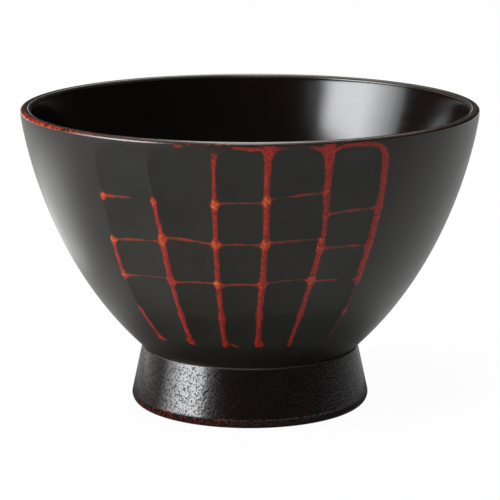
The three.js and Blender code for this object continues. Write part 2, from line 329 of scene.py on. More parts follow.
def end_tree(maker, given, geometry):
    """Welds seams and poles, shades smooth, realizes, sets the material and hands the geometry out."""
    welded = maker.add("GeometryNodeMergeByDistance", {}, {"Geometry": geometry, "Distance": WELD})
    shaded = maker.add("GeometryNodeSetShadeSmooth", {}, {"Geometry": welded})
    real = maker.add("GeometryNodeRealizeInstances", {}, {"Geometry": shaded})
    done = maker.add("GeometryNodeSetMaterial", {}, {"Geometry": real, "Material": given["Material"]})
    maker.node("NodeGroupOutput", {}, {"Geometry": done})


FLOAT = "NodeSocketFloat"


def sampled(maker, kind, geometry, value, index):
    """A value at one point of a geometry."""
    inputs = {"Geometry": geometry, "Value": value, "Index": index}
    return maker.add("GeometryNodeSampleIndex", {"data_type": kind}, inputs)


def named(maker, name):
    """A number stored on the points of a geometry."""
    return maker.add("GeometryNodeInputNamedAttribute", {"data_type": "FLOAT"}, {"Name": name})


def turned_tree():
    """Turns a section about Z: a row of points at (radius, 0, height), with a grain share on each."""
    tree, maker, given = new_tree(
        "turned section", {"Turns": "NodeSocketInt", "Grain Size": FLOAT, "Grain Depth": FLOAT}
    )
    section = given["Geometry"]
    count = maker.add("GeometryNodeAttributeDomainSize", {}, {"Geometry": section}, "Point Count")
    grid = maker.node(
        "GeometryNodeMeshGrid", {}, {"Vertices X": given["Turns"] + 1, "Vertices Y": count}
    )
    index = maker.add("GeometryNodeInputIndex")
    column = index.math("FLOOR", (index + 0.5) / count)
    row = index - column * count
    position = maker.add("GeometryNodeInputPosition")
    grain = named(maker, "grain")
    share = sampled(maker, "FLOAT", section, grain, row)
    radius, _, height = parts_of(maker, sampled(maker, "FLOAT_VECTOR", section, position, row))
    angle = column / given["Turns"] * (2 * math.pi)
    place = turned(maker, radius, angle, height)
    flat = Field(maker, grid.outputs["Mesh"])
    shaped = maker.add("GeometryNodeSetPosition", {}, {"Geometry": flat, "Position": place})
    kept = maker.add(
        "GeometryNodeStoreNamedAttribute",
        {"data_type": "FLOAT", "domain": "POINT"},
        {"Geometry": shaped, "Name": "grain", "Value": share},
    )
    welded = maker.add("GeometryNodeMergeByDistance", {}, {"Geometry": kept, "Distance": WELD})
    pits = stepped(maker, noise(maker, position, given["Grain Size"], 1.0, seed=3.0), 0.36, 0.56)
    relief = pits * given["Grain Depth"] * grain * -1
    normal = maker.add("GeometryNodeInputNormal")
    offset = maker.add("ShaderNodeVectorMath", {"operation": "SCALE"}, {0: normal, "Scale": relief})
    grained = maker.add("GeometryNodeSetPosition", {}, {"Geometry": welded, "Offset": offset})
    end_tree(maker, given, grained)
    return tree


def wrapped_tree():
    """Lays a flat chart, whose points are (azimuth, share of the wall's curve, 0), on the bowl's wall."""
    sizes = [
        "Neck Radius", "Neck Height", "Rim Radius", "Lip Height", "Lower Reach", "Lower Rise", "Upper Sweep",
        "Flute Depth", "Chip Depth", "Unevenness", "Unevenness Size",
    ]
    tree, maker, given = new_tree("chart on the wall", {size: FLOAT for size in sizes})
    azimuth, share, _ = parts_of(maker, maker.add("GeometryNodeInputPosition"))
    left = 1 - share
    low_weight = left * left * 3
    middle_weight = left * share * 6
    inner = given["Neck Radius"] + given["Lower Reach"]
    lower = given["Neck Height"] + given["Lower Rise"]
    upper = given["Lip Height"] - given["Upper Sweep"]
    start = left * left * left
    first = low_weight * share
    second = share * share * left * 3
    last = share * share * share
    radius = start * given["Neck Radius"] + first * inner + (second + last) * given["Rim Radius"]
    height = start * given["Neck Height"] + first * lower + second * upper + last * given["Lip Height"]
    run = low_weight * given["Lower Reach"] + middle_weight * (given["Rim Radius"] - inner)
    rise = low_weight * given["Lower Rise"] + middle_weight * (upper - lower)
    rise = rise + share * share * given["Upper Sweep"] * 3
    length = run.math("SQRT", run * run + rise * rise)
    flat_place = joined(maker, azimuth * given["Rim Radius"], height, 0.0)
    clouds = noise(maker, flat_place, given["Unevenness Size"], 0.0, seed=7.0)
    flute_depth = given["Flute Depth"] + (clouds - 0.5) * given["Unevenness"] * 2
    depth = named(maker, "hollow") * flute_depth + named(maker, "chip") * given["Chip Depth"]
    place = turned(maker, radius - depth * rise / length, azimuth, height + depth * run / length)
    laid = maker.add("GeometryNodeSetPosition", {}, {"Geometry": given["Geometry"], "Position": place})
    end_tree(maker, given, laid)
    return tree


def shaped(name, mesh, tree, sizes, material, thickness=0.0):
    """Runs a geometry tree over a mesh and returns the result as an object with a plain mesh."""
    seed = bpy.data.objects.new(name + ".seed", mesh)
    bpy.context.scene.collection.objects.link(seed)
    modifier = seed.modifiers.new("shape", "NODES")
    modifier.node_group = tree
    values = {**sizes, "Material": material}
    for item in tree.interface.items_tree:
        if item.in_out == "INPUT" and item.name in values:
            modifier[item.identifier] = values[item.name]
    if thickness:
        wall = seed.modifiers.new("thickness", "SOLIDIFY")
        wall.thickness = thickness
        wall.offset = -1
    graph = bpy.context.evaluated_depsgraph_get()
    evaluated = seed.evaluated_get(graph)
    result = bpy.data.meshes.new_from_object(evaluated, preserve_all_data_layers=True, depsgraph=graph)
    bpy.data.objects.remove(seed)
    result.name = name
    result.set_sharp_from_angle(angle=SHARP_ANGLE)
    piece = bpy.data.objects.new(name, result)
    bpy.context.scene.collection.objects.link(piece)
    return piece


# The wall's curve

lower_reach = LOWER_SWEEP * math.cos(WALL_RISE)
lower_rise = LOWER_SWEEP * math.sin(WALL_RISE)
WALL_POINTS = np.array([
    [NECK_RADIUS, foot_height],
    [NECK_RADIUS + lower_reach, foot_height + lower_rise],
    [rim_radius, lip_height - UPPER_SWEEP],
    [rim_radius, lip_height],
])


def wall_point(share):
    """Radius and height on the outside of the wall at a share of its curve."""
    t = np.asarray(share, float)[..., None]
    a, b, c, d = WALL_POINTS
    return (1 - t) ** 3 * a + 3 * (1 - t) ** 2 * t * b + 3 * (1 - t) * t**2 * c + t**3 * d


def wall_outward(share):
    """The wall's outward direction, as radius and height."""
    t = np.asarray(share, float)[..., None]
    a, b, c, d = WALL_POINTS
    along = (1 - t) ** 2 * (b - a) + 2 * (1 - t) * t * (c - b) + t**2 * (d - c)
    along = along / np.linalg.norm(along, axis=-1, keepdims=True)
    return np.stack([along[..., 1], -along[..., 0]], axis=-1)


SHARES = np.linspace(0, 1, CURVE_SAMPLES)
SHARE_POINTS = wall_point(SHARES)


def wall_share(height):
    """Where along the wall's curve a height lies."""
    return np.interp(height, SHARE_POINTS[:, 1], SHARES)


def wall_radius(height):
    return np.interp(height, SHARE_POINTS[:, 1], SHARE_POINTS[:, 0])


def wall_place(azimuth, height):
    """A point on the outside of the wall. Azimuth 0 faces -Y and grows towards +X."""
    radius = wall_radius(height)
    level = np.broadcast_to(height, radius.shape)
    return np.stack([radius * np.sin(azimuth), -radius * np.cos(azimuth), level], -1)


# Sections of the turned coats, each drawn with the lacquer on the left of its direction

def arc(centre, radius, start, end, steps):
    angles = np.linspace(start, end, steps + 1)
    return np.stack([centre[0] + radius * np.cos(angles), centre[1] + radius * np.sin(angles)], -1)


def inset(line, distance):
    """The same line moved to its left, with mitred corners."""
    along = np.diff(line, axis=0)
    along /= np.linalg.norm(along, axis=1, keepdims=True)
    lefts = np.stack([-along[:, 1], along[:, 0]], -1)
    before = np.vstack([lefts[:1], lefts])
    after = np.vstack([lefts, lefts[-1:]])
    mitre = (before + after) / (1 + np.sum(before * after, axis=1, keepdims=True))
    return line + mitre * distance


def coat_section(line):
    """A closed section of a coat under a line."""
    return np.vstack([line, inset(line, COAT)[::-1], line[:1]])


def lining_line():
    """The inside from the lip down the wall and over the floor to the axis."""
    floor_share = float(wall_share(foot_height + FLOOR_ROUNDING))
    shares = np.linspace(1, floor_share, WALL_STEPS + 1)
    thickness = BASE_WALL + (RIM_WALL - BASE_WALL) * shares
    wall = wall_point(shares) - wall_outward(shares) * thickness[:, None]
    end = wall[-1]
    outward = wall_outward(floor_share)
    turn = np.array([end[0] - (end[1] - FLOOR_HEIGHT) * (-outward[1] / outward[0]), FLOOR_HEIGHT])
    t = np.linspace(0, 1, FLOOR_STEPS + 1)[1:, None]
    floor = (1 - t) ** 2 * end + 2 * (1 - t) * t * turn + t**2 * np.array([0, FLOOR_HEIGHT])
    return np.vstack([wall, floor])


def lining_section():
    line = lining_line()
    back = inset(line, COAT)
    back[-1, 0] = 0
    back[0, 1] = lip_height
    return np.vstack([back[::-1], line])


def lip_line(depth):
    """The flat lip with its rounded edges, from outside to inside, some depth below its surface."""
    outer = (rim_radius - lip_rounding, lip_height)
    inner = (rim_radius - RIM_WALL + lip_rounding, lip_height)
    outer_edge = arc(outer, lip_rounding - depth, 0, math.pi / 2, LIP_STEPS)
    inner_edge = arc(inner, lip_rounding - depth, math.pi / 2, math.pi, LIP_STEPS)
    flat = np.linspace(outer_edge[-1], inner_edge[0], LIP_FLAT_STEPS + 1)[1:-1]
    return np.vstack([outer_edge, flat, inner_edge])


def lip_section():
    outside = lip_line(0)
    return np.vstack([outside, lip_line(COAT)[::-1], outside[:1]])


def tangent_angle(centre, radius, start, side):
    """The angle at which a line from a point outside touches a circle."""
    reach = np.subtract(start, centre)
    return math.atan2(reach[1], reach[0]) + side * math.acos(radius / np.hypot(*reach))


def divided(start, end, step):
    """Points from start towards end at about one step, without the end."""
    count = max(1, round(float(np.hypot(*np.subtract(end, start))) / step))
    return np.array([np.add(start, np.subtract(end, start) * i / count) for i in range(count)])


FOOT_STEP = 0.22 * MM
FOOT_INNER_STEP = 1.5 * MM
TOE_STEPS = 12
INNER_TOE_STEPS = 5
LEDGE_STEPS = 8


def foot_line():
    """The foot from the top of its inner side, under the toe and up outside to the ledge at the neck."""
    inner_top = (spigot_radius - COAT, well_depth)
    inner_toe = (foot_radius - FOOT_WALL + INNER_TOE_RADIUS, INNER_TOE_RADIUS)
    outer_toe = (foot_radius - TOE_RADIUS, TOE_RADIUS)
    ledge = (NECK_RADIUS + FOOT_LEDGE - LEDGE_ROUNDING, foot_height - LEDGE_ROUNDING)
    inner_angle = tangent_angle(inner_toe, INNER_TOE_RADIUS, inner_top, 1)
    lean = np.subtract(ledge, outer_toe)
    turn = math.asin((TOE_RADIUS - LEDGE_ROUNDING) / np.hypot(*lean))
    outer_angle = math.atan2(lean[1], lean[0]) - math.pi / 2 + turn
    under = arc(inner_toe, INNER_TOE_RADIUS, inner_angle, 1.5 * math.pi, INNER_TOE_STEPS)
    toe = arc(outer_toe, TOE_RADIUS, -math.pi / 2, outer_angle, TOE_STEPS)
    round_end = min(math.acos((NECK_RADIUS - COAT - ledge[0]) / LEDGE_ROUNDING), math.pi / 2)
    round_top = arc(ledge, LEDGE_ROUNDING, outer_angle, round_end, LEDGE_STEPS)
    return np.vstack([
        divided(inner_top, under[0], FOOT_INNER_STEP),
        under,
        toe[:-1],
        divided(toe[-1], round_top[0], FOOT_STEP),
        round_top,
        [[NECK_RADIUS - COAT, foot_height]],
    ])


GRAIN_TOE = 1.2 * MM
GRAIN_TOP = 1.2 * MM


def foot_grain(section):
    """Where the foot is stippled: its outer side, fading at the toe and the ledge."""
    radius, height = section[:, 0], section[:, 1]
    outer = radius > foot_radius - TOE_RADIUS
    outer |= (height > TOE_RADIUS) & (radius > NECK_RADIUS + FOOT_LEDGE - COAT)
    rise = np.clip(height / GRAIN_TOE, 0, 1) * np.clip((foot_height - height) / GRAIN_TOP, 0, 1)
    back = np.zeros(len(section), bool)
    back[len(section) // 2:] = True
    return np.where(outer & ~back, rise, 0)


def well_section():
    under, over = well_depth, well_depth + COAT
    flat = divided((0, under), (spigot_radius, under), FOOT_INNER_STEP)
    return np.vstack([flat, [[spigot_radius, under], [spigot_radius, over], [0, over]]])


def turned_piece(name, section, material, turns=TURNS, grain=None):
    points = [(radius, 0, height) for radius, height in section.tolist()]
    mesh = bpy.data.meshes.new(name + ".section")
    mesh.from_pydata(points, [(i, i + 1) for i in range(len(points) - 1)], [])
    shares = np.zeros(len(points)) if grain is None else grain
    mesh.attributes.new("grain", "FLOAT", "POINT").data.foreach_set("value", shares.astype(np.float32))
    sizes = {"Turns": turns, "Grain Size": STIPPLE_SIZE, "Grain Depth": STIPPLE_DEPTH}
    return shaped(name, mesh, TURNED, sizes, material)


# The carved panel: where its ridges, row lines and rounded tops run

row_height = (panel_top - panel_bottom - TOP_ROW_EXTRA) / ROWS


def ridge_azimuth(ridge, height):
    """Azimuth of a ridge, counted from the left, at a height."""
    stand = (ridge - FLUTES / 2) * FLUTE_PITCH + RIDGE_WANDER[ridge] * MM
    sway = np.array(RIDGE_SWAY[ridge][::-1]) * MM
    return (stand + np.interp(height, np.linspace(panel_bottom, panel_top, len(sway)), sway)) / rim_radius


def row_line(flute, row, across):
    """Height of the line above a row, counted from the top, at a place across a flute from -1 to 1."""
    level = panel_bottom + (ROWS - row) * row_height
    if 0 < row < ROWS:
        level = level + (ROW_WANDER[row - 1][flute] + ROW_TILT[row - 1][flute] * across) * MM
    return level + 0 * across


def arch_line(flute, across):
    """Height of a flute's rounded top at a place across it."""
    left, right = ARCH_DROP[flute]
    share = 1 - np.cbrt(1 - np.minimum(1, np.abs(across)) ** 3)
    return panel_top - 2 * STEP_HALF - np.where(np.less(across, 0), left, right) * MM * share


# The chart: columns run round the bowl from the left ridge, rows run up from the neck

def chart_columns():
    """Each column's ridge or flute and the place across it: -1 to 1, and 0 to 1 round the back."""
    columns = []
    for ridge in range(FLUTES + 1):
        steps = np.linspace(-1, 1, RIDGE_CELLS + 1)
        columns += [("ridge", ridge, u) for u in steps[0 if ridge == 0 else 1:]]
        if ridge < FLUTES:
            steps = np.linspace(-1, 1, FLUTE_CELLS + 1)[1:]
            columns += [("flute", ridge, u) for u in steps[:-1]]
            columns.append(("ridge", ridge + 1, -1.0))
    columns += [("back", 0, q) for q in np.linspace(0, 1, BACK_CELLS + 1)[1:]]
    return columns


COLUMNS = chart_columns()
PANEL_COLUMNS = FLUTES * FLUTE_CELLS + (FLUTES + 1) * RIDGE_CELLS


def blended(line, column):
    """A height given for each flute, carried over the ridges and round the back."""
    kind, number, u = column
    if kind == "flute":
        return line(number, u)
    if kind == "back":
        return line(FLUTES - 1, 1.0) * (1 - u) + line(0, -1.0) * u
    left = line(max(number - 1, 0), 1.0 if number else -1.0)
    right = line(min(number, FLUTES - 1), -1.0 if number < FLUTES else 1.0)
    return left + (right - left) * (u + 1) / 2


def level_line(height):
    """A line at one height round the bowl."""
    return lambda flute, across: height + 0 * across


def chart_rows():
    """Bands of rows from the neck up: their cells, their row of chips or None, and their two edge lines."""
    bands = [
        (NECK_CELLS, None, level_line(foot_height), level_line(panel_bottom)),
        (1, None, level_line(panel_bottom), level_line(panel_bottom + STEP_HALF)),
    ]
    for row in range(ROWS - 1, -1, -1):
        low = lambda f, u, row=row: row_line(f, row + 1, u) + STEP_HALF
        if row:
            high = lambda f, u, row=row: row_line(f, row, u) - STEP_HALF
            above = lambda f, u, row=row: row_line(f, row, u) + STEP_HALF
            bands.append((CHIP_CELLS, row, low, high))
            bands.append((STEP_CELLS, None, high, above))
        else:
            bands.append((TOP_CHIP_CELLS, row, low, arch_line))
    bands.append((CROWN_CELLS, None, arch_line, level_line(lip_height)))
    return bands


def eased(value, low, high):
    t = np.clip((value - low) / (high - low), 0, 1)
    return t * t * (3 - 2 * t)


def wall_chart():
    """Azimuths, heights and carving of the whole wall, as columns by rows, and the row of each cell."""
    heights, chips, cell_rows = [], [], []
    for cells, row, low, high in chart_rows():
        lows = np.array([float(blended(low, column)) for column in COLUMNS])
        highs = np.array([float(blended(high, column)) for column in COLUMNS])
        steps = np.linspace(0, 1, cells + 1)
        for share in steps[1:] if heights else steps:
            heights.append(lows + (highs - lows) * share)
            chips.append(1 - (2 * share - 1) ** 2 if row is not None else 0.0)
        cell_rows += [row] * cells
    height = np.array(heights).T
    along = np.array(chips)[None, :]
    azimuth = np.zeros_like(height)
    across = np.ones_like(height)
    arch = np.zeros_like(height)
    for place, (kind, number, u) in enumerate(COLUMNS):
        z = height[place]
        half = RIDGE_HALF / wall_radius(z)
        if kind == "back":
            start = ridge_azimuth(FLUTES, z) + half
            end = ridge_azimuth(0, z) - half + 2 * math.pi
            azimuth[place] = start + (end - start) * u
            continue
        if kind == "ridge":
            azimuth[place] = ridge_azimuth(number, z) + u * half
            flute = number - 1 if u < 0 else number
        else:
            left = ridge_azimuth(number, z) + half
            right = ridge_azimuth(number + 1, z) - half
            azimuth[place] = left + (right - left) * (u + 1) / 2
            flute = number
        if 0 <= flute < FLUTES:
            left, right = ridge_azimuth(flute, z), ridge_azimuth(flute + 1, z)
            across[place] = np.clip((2 * azimuth[place] - left - right) / (right - left), -1, 1)
            arch[place] = arch_line(flute, across[place])
    bowl = 1 - across**2
    run_out = eased(arch - height, 0, RUN_OUT) * eased(height - panel_bottom, 0, RUN_OUT)
    return {
        "azimuth": azimuth, "height": height, "cell_rows": cell_rows,
        "hollow": bowl * run_out, "chip": bowl * along,
    }


# Where the black is rubbed through: strokes along ridges, row lines and rounded tops

CROSSING_REACH = 1.7 * MM
END_REACH = 1.6 * MM
GLOW_REACH = 1.5 * MM
STROKE_POINTS = 90
ROW_STROKE_POINTS = 33
FLARE = 0.25
FILLET = 1.3
OUTSIDE = -9.0


def beside(ridge):
    """The flutes to the left and right of a ridge, with the place across each at which the ridge stands."""
    return [(f, side) for f, side in ((ridge - 1, 1.0), (ridge, -1.0)) if 0 <= f < FLUTES]


def ridge_stroke(ridge):
    """Points along a ridge and the half width of red there."""
    top = max(float(arch_line(f, side)) for f, side in beside(ridge))
    end = panel_bottom + END_REACH
    stops = [(lip_height, TOP_RED[ridge][0]), (top, TOP_RED[ridge][1])]
    for row in range(1, ROWS):
        line = np.mean([row_line(f, row, side) for f, side in beside(ridge)])
        stops.append((line + CROSSING_REACH, RIDGE_RED[ridge][row - 1]))
        stops.append((line, CROSSING_RED[ridge][row - 1]))
        stops.append((line - CROSSING_REACH, RIDGE_RED[ridge][row]))
    stops += [(end + CROSSING_REACH, RIDGE_RED[ridge][ROWS - 1]), (end, END_RED[ridge])]
    heights = np.linspace(end, lip_height, STROKE_POINTS)
    widths = np.interp(heights, [z for z, _ in stops[::-1]], [w for _, w in stops[::-1]])
    return wall_place(ridge_azimuth(ridge, heights), heights), widths


def flute_azimuth(flute, across, height):
    left, right = ridge_azimuth(flute, height), ridge_azimuth(flute + 1, height)
    return left + (right - left) * (across + 1) / 2


def flute_stroke(flute, line, widths):
    """Points along a line across a flute and the half width of red there."""
    across = np.sin(np.linspace(-math.pi / 2, math.pi / 2, ROW_STROKE_POINTS))
    heights = line(flute, across)
    places = wall_place(flute_azimuth(flute, across, heights), heights)
    return places, np.interp(across, ACROSS_STOPS, widths)


def stray_stroke(start, low, end, high, width):
    return wall_place(np.radians([start, end]), np.array([low, high]) * MM), np.array([width, width])


def rub(points, stroke):
    """How deep each point lies inside a stroke, in millimetres, below 0 outside it."""
    line, widths = stroke
    depth = np.full(len(points), OUTSIDE)
    for start, end, first, last in zip(line[:-1], line[1:], widths[:-1], widths[1:]):
        along = end - start
        share = np.clip((points - start) @ along / (along @ along), 0, 1)
        distance = np.linalg.norm(points - start - share[:, None] * along, axis=1)
        depth = np.maximum(depth, first + (last - first) * share - distance / MM)
    return depth


def filleted(first, second):
    """The deeper of two rubs, with their inner corners filled round."""
    closeness = np.clip(1 - np.abs(first - second) / FILLET, 0, 1)
    return np.maximum(first, second) + FILLET / 4 * closeness**2


def panel_rubs(points):
    """Red of the ridges, red of the row lines and orange of the crossings at each point of the wall."""
    ridges = np.full(len(points), OUTSIDE)
    arches = np.full(len(points), OUTSIDE)
    rows = np.full(len(points), OUTSIDE)
    glow = np.zeros(len(points))
    for ridge in range(FLUTES + 1):
        ridges = np.maximum(ridges, rub(points, ridge_stroke(ridge)))
        for row in range(1, ROWS):
            for flute, side in beside(ridge):
                level = np.array(row_line(flute, row, side))
                distance = np.linalg.norm(points - wall_place(ridge_azimuth(ridge, level), level), axis=1)
                here = CROSSING_GLOW[ridge][row - 1] * np.exp(-((distance / GLOW_REACH) ** 2))
                glow = np.maximum(glow, here)
    for flute in range(FLUTES):
        arches = np.maximum(arches, rub(points, flute_stroke(flute, arch_line, ARCH_RED[flute])))
        for row, widths in enumerate(ROW_RED):
            line = lambda f, u, row=row: row_line(f, row + 1, u)
            rows = np.maximum(rows, rub(points, flute_stroke(flute, line, widths[flute])))
    for stray in STRAY_RED:
        arches = np.maximum(arches, rub(points, stray_stroke(*stray)))
    ridges = filleted(ridges, arches)
    flares = rows - FLARE * np.maximum(0, -ridges)
    return {"ridge_red": filleted(ridges, flares), "row_red": rows, "glow": glow}


def chart_piece(name, chart, cells, material):
    """A piece of the wall made of the chart's chosen cells."""
    columns, rows = chart["azimuth"].shape
    corner = np.arange(columns * rows).reshape(columns, rows)
    quads = np.stack([corner[:-1, :-1], corner[1:, :-1], corner[1:, 1:], corner[:-1, 1:]], -1)[cells]
    used, faces = np.unique(quads, return_inverse=True)
    azimuth, height = chart["azimuth"].ravel()[used], chart["height"].ravel()[used]
    points = np.stack([azimuth, wall_share(height), np.zeros(len(used))], -1)
    mesh = bpy.data.meshes.new(name + ".chart")
    mesh.from_pydata(points.tolist(), [], faces.reshape(-1, 4).tolist())
    for attribute in ("hollow", "chip", "ridge_red", "row_red", "glow"):
        values = chart[attribute].ravel()[used].astype(np.float32)
        mesh.attributes.new(attribute, "FLOAT", "POINT").data.foreach_set("value", values)
    sizes = {
        "Neck Radius": NECK_RADIUS, "Neck Height": foot_height, "Rim Radius": rim_radius,
        "Lip Height": lip_height, "Lower Reach": lower_reach, "Lower Rise": lower_rise,
        "Upper Sweep": UPPER_SWEEP, "Flute Depth": FLUTE_DEPTH, "Chip Depth": CHIP_DEPTH,
        "Unevenness": UNEVENNESS, "Unevenness Size": UNEVENNESS_SIZE,
    }
    return shaped(name, mesh, WRAPPED, sizes, material, COAT)


# Finishes: colours are a dark and a light tone, or one tone

CRIMSON = (0.112, 0.0045, 0.0018, 1), (0.272, 0.0118, 0.0036, 1)
ORANGE = (0.25, 0.026, 0.0036, 1), (0.46, 0.092, 0.011, 1)
ROW_CRIMSON = (0.070, 0.018, 0.006, 1), (0.19, 0.011, 0.005, 1)
WORN_EDGE_BROWN = (0.045, 0.010, 0.003, 1)
WALL_DUST = (0.20, 0.19, 0.18, 1)
FACET_BLACK = (0.0060, 0.0056, 0.0032, 1), (0.0086, 0.0080, 0.0049, 1)
GROUND_BLACK = (0.0062, 0.0052, 0.0032, 1), (0.0090, 0.0074, 0.0046, 1)
SATIN_BLACK = (0.0062, 0.0054, 0.0036, 1), (0.0092, 0.0081, 0.0056, 1)
GLOSS_BLACK = (0.0036, 0.0017, 0.0008, 1), (0.0054, 0.0027, 0.0014, 1)
LINING_DUST = (0.12, 0.12, 0.12, 1)
LIP_BROWN = (0.012, 0.005, 0.003, 1), (0.030, 0.012, 0.006, 1)
LIP_BLACK = (0.004, 0.0028, 0.002, 1)
LIP_RED = (0.17, 0.011, 0.006, 1), (0.42, 0.045, 0.018, 1)
# Painted reflection: a pale olive line along the lip's inner rounding, standing in for the room it reflects
LIP_INNER_EDGE_REFLECTION = (0.05, 0.04, 0.028, 1)
FOOT_BLACK = (0.0026, 0.0012, 0.0007, 1), (0.0048, 0.0020, 0.0011, 1)
FOOT_RED = (0.04, 0.006, 0.003, 1), (0.13, 0.010, 0.005, 1)
# Painted highlight: a pale tone on the foot's rounded shoulder that stands in for the light it catches
FOOT_SHOULDER_HIGHLIGHT = (0.055, 0.047, 0.040, 1)
WELL_BLACK = (0.008, 0.0065, 0.005, 1), (0.014, 0.012, 0.010, 1)
WOOD = (0.36, 0.18, 0.075, 1), (0.22, 0.095, 0.036, 1)
# How rough and how refractive the finishes are
FACET_ROUGHNESS = 0.36
SATIN_ROUGHNESS = 0.38
GLOSS_ROUGHNESS = 0.16
LIP_ROUGHNESS = 0.2
FOOT_ROUGHNESS = 0.18
WELL_ROUGHNESS = 0.36
WOOD_ROUGHNESS = 0.7
WALL_IOR = 1.31
GLOSS_IOR = 1.52
LIP_IOR = 1.55
FOOT_IOR = 1.54
PIT_IOR = 1.1
PIT_ROUGHNESS = 0.6
WELL_IOR = 1.4
WOOD_IOR = 1.45
# Where wear lies round the bowl and how far it reaches, in degrees from the front, growing to the right
LIP_BROWN_PLACE = (25.0, 170.0)
LIP_WEAR_PLACE = (-66.0, 34.0)
LIP_FLECK_PLACE = (-5.0, 60.0)
FOOT_FLECK_PLACE = (-40.0, 60.0)
# Heights between which the flecks at the toe fade out
TOE_FLECK_HEIGHTS = (1.0 * MM, 5.0 * MM)
# Depths below the foot's ledge between which its pale edge fades in: a painted highlight standing in for the
# light that the ledge's rounding catches
SHOULDER_HIGHLIGHT_DEPTHS = (0.5 * MM, 0.25 * MM)
PIT_SIZE = 0.42 * MM
TURNING_RING = 1.3 * MM
GROWTH_RING = 3.2 * MM


def finish(name):
    """A new material, its maker and its object coordinates."""
    material = bpy.data.materials.new(name)
    material.use_nodes = True
    material.node_tree.nodes.clear()
    maker = Maker(material.node_tree)
    return material, maker, maker.add("ShaderNodeTexCoord", {}, {}, "Object")


def lacquer(maker, constants, varying):
    """A shader: fixed values on its own sockets, and what varies over the surface."""
    return maker.add("ShaderNodeBsdfPrincipled", {}, {**constants, **varying})


def show(maker, shader):
    maker.node("ShaderNodeOutputMaterial", {}, {"Surface": shader})


def surface(maker, constants, varying):
    """A finish of one shader."""
    show(maker, lacquer(maker, constants, varying))


def bump(maker, height, distance):
    return maker.add("ShaderNodeBump", {}, {"Height": height, "Distance": distance})


def attribute(maker, name):
    return maker.add("ShaderNodeAttribute", {"attribute_name": name}, {}, "Fac")


def azimuth_of(maker, place):
    """Azimuth round the bowl in degrees, 0 at the front and growing to the right."""
    x, y, _ = parts_of(maker, place)
    return x.math("ARCTAN2", x, y * -1) * math.degrees(1)


def radius_of(maker, place):
    """Distance from the bowl's axis."""
    x, y, _ = parts_of(maker, place)
    return x.math("SQRT", x * x + y * y)


def near(maker, value, centre, reach):
    """1 at a centre, easing to 0 at a reach to either side."""
    return stepped(maker, value.math("ABSOLUTE", value - centre), reach * 0.3, reach)


def wall_lacquer(name, black_tones, sheen_roughness):
    """Satin black over red: black with soft clouds, red and orange where the crests are rubbed through."""
    material, maker, place = finish(name)
    clouds = noise(maker, place, 9 * MM, 3.0, seed=1.0)
    fine = noise(maker, place, 0.7 * MM, 3.0, 0.6, seed=2.0)
    ragged = noise(maker, place, 1.6 * MM, 3.0, 0.6, seed=3.0)
    broken = noise(maker, place, 2.6 * MM, 2.0, 0.6, seed=4.0)
    black = mixed(maker, smooth(maker, clouds, 0.3, 0.7), *black_tones)

    ridge_red = attribute(maker, "ridge_red") + (ragged - 0.5) * 0.6 + (fine - 0.5) * 0.3
    row_red = attribute(maker, "row_red") + (broken - 0.5) * 0.35 + (fine - 0.5) * 0.25
    glow = attribute(maker, "glow") + (ragged - 0.5) * 0.8 + (fine - 0.5) * 0.8

    brown_edge = smooth(maker, ridge_red, -0.4, 0.0)
    red_heart = smooth(maker, ridge_red, -0.08, 0.22)
    crimson = mixed(maker, smooth(maker, fine, 0.35, 0.65), *CRIMSON)
    orange = mixed(maker, smooth(maker, fine, 0.4, 0.7), *ORANGE)
    ridge_colour = mixed(maker, smooth(maker, glow, 0.4, 0.9), crimson, orange)
    row_colour = mixed(maker, smooth(maker, broken, 0.4, 0.65), *ROW_CRIMSON)

    colour = mixed(maker, brown_edge * 0.6, black, WORN_EDGE_BROWN)
    colour = mixed(maker, smooth(maker, row_red, -0.12, 0.12) * 0.9, colour, row_colour)
    colour = mixed(maker, red_heart, colour, ridge_colour)
    dust = speck_mask(maker, place, 3.2 * MM, 0.07)
    colour = mixed(maker, dust * 0.25, colour, WALL_DUST)

    roughness = sheen_roughness + (clouds - 0.5) * 0.08 + (fine - 0.5) * 0.06
    relief = bump(maker, noise(maker, place, 1.1 * MM, 2.0, seed=6.0) + red_heart * 0.6, 0.006 * MM)
    surface(maker, {"IOR": WALL_IOR}, {"Base Color": colour, "Roughness": roughness, "Normal": relief})
    return material


def speck_mask(maker, place, spacing, size):
    """Sparse round specks, one in a few cells of a spacing."""
    cells = maker.node("ShaderNodeTexVoronoi", {}, {"Vector": place, "Scale": 1 / spacing})
    distance, colour = Field(maker, cells.outputs["Distance"]), Field(maker, cells.outputs["Color"])
    chance, _, _ = parts_of(maker, colour)
    return stepped(maker, distance, size * 0.6, size) * smooth(maker, chance, 0.6, 0.62)


def lining_lacquer():
    """Deep gloss black, with a trace of the polishing."""
    material, maker, place = finish("gloss_black_lacquer")
    clouds = noise(maker, place, 14 * MM, 3.0, seed=11.0)
    rings = noise(maker, stretched(maker, place, (0.25, 0.25, 4.0)), 4 * MM, 2.0, seed=12.0)
    colour = mixed(maker, clouds, *GLOSS_BLACK)
    dust = speck_mask(maker, place, 5 * MM, 0.03)
    colour = mixed(maker, dust * 0.5, colour, LINING_DUST)
    roughness = GLOSS_ROUGHNESS + (rings - 0.5) * 0.08 + (clouds - 0.5) * 0.04
    relief = bump(maker, noise(maker, place, 5 * MM, 1.0, seed=13.0), 0.01 * MM)
    surface(maker, {"IOR": GLOSS_IOR}, {"Base Color": colour, "Roughness": roughness, "Normal": relief})
    return material


